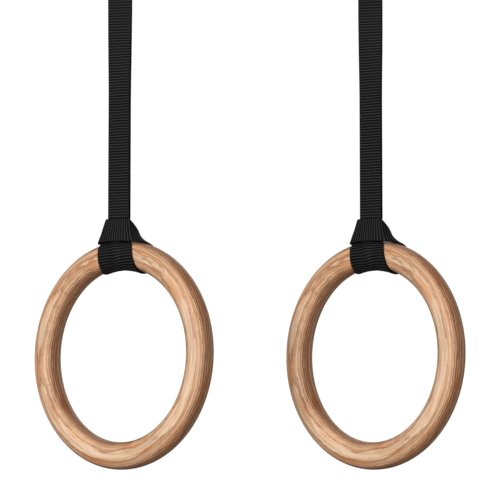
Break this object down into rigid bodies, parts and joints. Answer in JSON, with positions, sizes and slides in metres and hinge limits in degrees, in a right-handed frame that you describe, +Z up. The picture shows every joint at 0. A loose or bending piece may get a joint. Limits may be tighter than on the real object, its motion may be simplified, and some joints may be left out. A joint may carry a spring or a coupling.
{
  "type": "gymnastics rings",
  "caption": "Wooden gymnastics rings hung on doubled black webbing slings, each girth hitched to its ring and clipped by a spring-gate carabiner to a swivelling ceiling anchor.",
  "frame": {"origin": "on the ceiling plane, midway between the two anchors", "axes": "+Z up; +X from the left ring to the right ring, as seen from the front; +Y away from the viewer"},
  "size_m": [0.4447, 0.174, 0.6574],
  "materials": {
    "wood": "satin varnished laminated birch",
    "webbing": "ribbed black polyester webbing",
    "thread": "black bonded thread",
    "polished_steel": "polished steel",
    "zinc_plated_steel": "zinc plated steel",
    "bronze": "sintered bronze"
  },
  "bodies": {
    "anchors": {"anchor_plate_left": "zinc_plated_steel", "thrust_washer_left": "bronze", "anchor_screw_left_1": "zinc_plated_steel", "anchor_screw_left_2": "zinc_plated_steel", "anchor_screw_left_3": "zinc_plated_steel", "anchor_screw_left_4": "zinc_plated_steel", "anchor_plate_right": "zinc_plated_steel", "thrust_washer_right": "bronze", "anchor_screw_right_1": "zinc_plated_steel", "anchor_screw_right_2": "zinc_plated_steel", "anchor_screw_right_3": "zinc_plated_steel", "anchor_screw_right_4": "zinc_plated_steel"},
    "swivel_left": {"swivel_eye_left": "zinc_plated_steel", "swivel_nut_left": "zinc_plated_steel"},
    "carabiner_left": {"carabiner_body_left": "polished_steel", "gate_pin_left": "polished_steel"},
    "gate_left": {"carabiner_gate_left": "polished_steel", "gate_plunger_left": "bronze", "gate_spring_left": "polished_steel"},
    "sling_left": {"sling_strands_left": "webbing", "sling_bar_tack_left_1": "thread", "sling_bar_tack_left_2": "thread", "sling_bar_tack_left_3": "thread", "sling_bar_tack_left_4": "thread"},
    "sling_end_left": {"sling_end_left": "webbing"},
    "hitch_left": {"sling_hitch_left": "webbing"},
    "ring_left": {"ring_left": "wood"},
    "swivel_right": {"swivel_eye_right": "zinc_plated_steel", "swivel_nut_right": "zinc_plated_steel"},
    "carabiner_right": {"carabiner_body_right": "polished_steel", "gate_pin_right": "polished_steel"},
    "gate_right": {"carabiner_gate_right": "polished_steel", "gate_plunger_right": "bronze", "gate_spring_right": "polished_steel"},
    "sling_right": {"sling_strands_right": "webbing", "sling_bar_tack_right_1": "thread", "sling_bar_tack_right_2": "thread", "sling_bar_tack_right_3": "thread", "sling_bar_tack_right_4": "thread"},
    "sling_end_right": {"sling_end_right": "webbing"},
    "hitch_right": {"sling_hitch_right": "webbing"},
    "ring_right": {"ring_right": "wood"}
  },
  "joints": [
    {"name": "swivel_turn_left", "type": "hinge", "parent": "anchors", "child": "swivel_left", "pos_m": [-0.1329, 0, 0], "axis": [0, 0, 1], "continuous": true},
    {"name": "carabiner_swing_left", "type": "hinge", "parent": "swivel_left", "child": "carabiner_left", "pos_m": [-0.1329, 0, -0.05], "axis": [0.1045, 0.9945, 0], "range_deg": [-8, 50]},
    {"name": "gate_open_left", "type": "hinge", "parent": "carabiner_left", "child": "gate_left", "pos_m": [-0.11214, -0.00218, -0.092], "axis": [-0.1045, -0.9945, 0], "range_deg": [0, 25], "stiffness_Nm_per_rad": 0.2, "springref_deg": -22.92},
    {"name": "sling_swing_left", "type": "hinge", "parent": "carabiner_left", "child": "sling_left", "pos_m": [-0.1329, 0, -0.1112], "axis": [0.9945, -0.1045, 0], "range_deg": [-75, 75]},
    {"name": "sling_twist_left", "type": "hinge", "parent": "sling_left", "child": "sling_end_left", "pos_m": [-0.1329, 0, -0.3532], "axis": [0, 0, 1], "range_deg": [-90, 90], "stiffness_Nm_per_rad": 0.03},
    {"name": "ring_tilt_left", "type": "hinge", "parent": "sling_end_left", "child": "hitch_left", "pos_m": [-0.1329, 0, -0.3656], "axis": [0.848, -0.5299, 0], "range_deg": [-50, 50]},
    {"name": "ring_spin_left", "type": "hinge", "parent": "hitch_left", "child": "ring_left", "pos_m": [-0.13, 0, -0.5112], "axis": [0.6044, 0.7963, -0.0262], "continuous": true},
    {"name": "swivel_turn_right", "type": "hinge", "parent": "anchors", "child": "swivel_right", "pos_m": [0.1291, 0, 0], "axis": [0, 0, 1], "continuous": true},
    {"name": "carabiner_swing_right", "type": "hinge", "parent": "swivel_right", "child": "carabiner_right", "pos_m": [0.1291, 0, -0.05], "axis": [0.1045, 0.9945, 0], "range_deg": [-50, 8]},
    {"name": "gate_open_right", "type": "hinge", "parent": "carabiner_right", "child": "gate_right", "pos_m": [0.14985, -0.00218, -0.092], "axis": [-0.1045, -0.9945, 0], "range_deg": [0, 25], "stiffness_Nm_per_rad": 0.2, "springref_deg": -22.92},
    {"name": "sling_swing_right", "type": "hinge", "parent": "carabiner_right", "child": "sling_right", "pos_m": [0.1291, 0, -0.1112], "axis": [0.9945, -0.1045, 0], "range_deg": [-75, 75]},
    {"name": "sling_twist_right", "type": "hinge", "parent": "sling_right", "child": "sling_end_right", "pos_m": [0.1291, 0, -0.3532], "axis": [0, 0, 1], "range_deg": [-90, 90], "stiffness_Nm_per_rad": 0.03},
    {"name": "ring_tilt_right", "type": "hinge", "parent": "sling_end_right", "child": "hitch_right", "pos_m": [0.1291, 0, -0.3656], "axis": [0.848, -0.5299, 0], "range_deg": [-50, 50]},
    {"name": "ring_spin_right", "type": "hinge", "parent": "hitch_right", "child": "ring_right", "pos_m": [0.13, 0, -0.5112], "axis": [0.7019, 0.7118, -0.0262], "continuous": true}
  ]
}
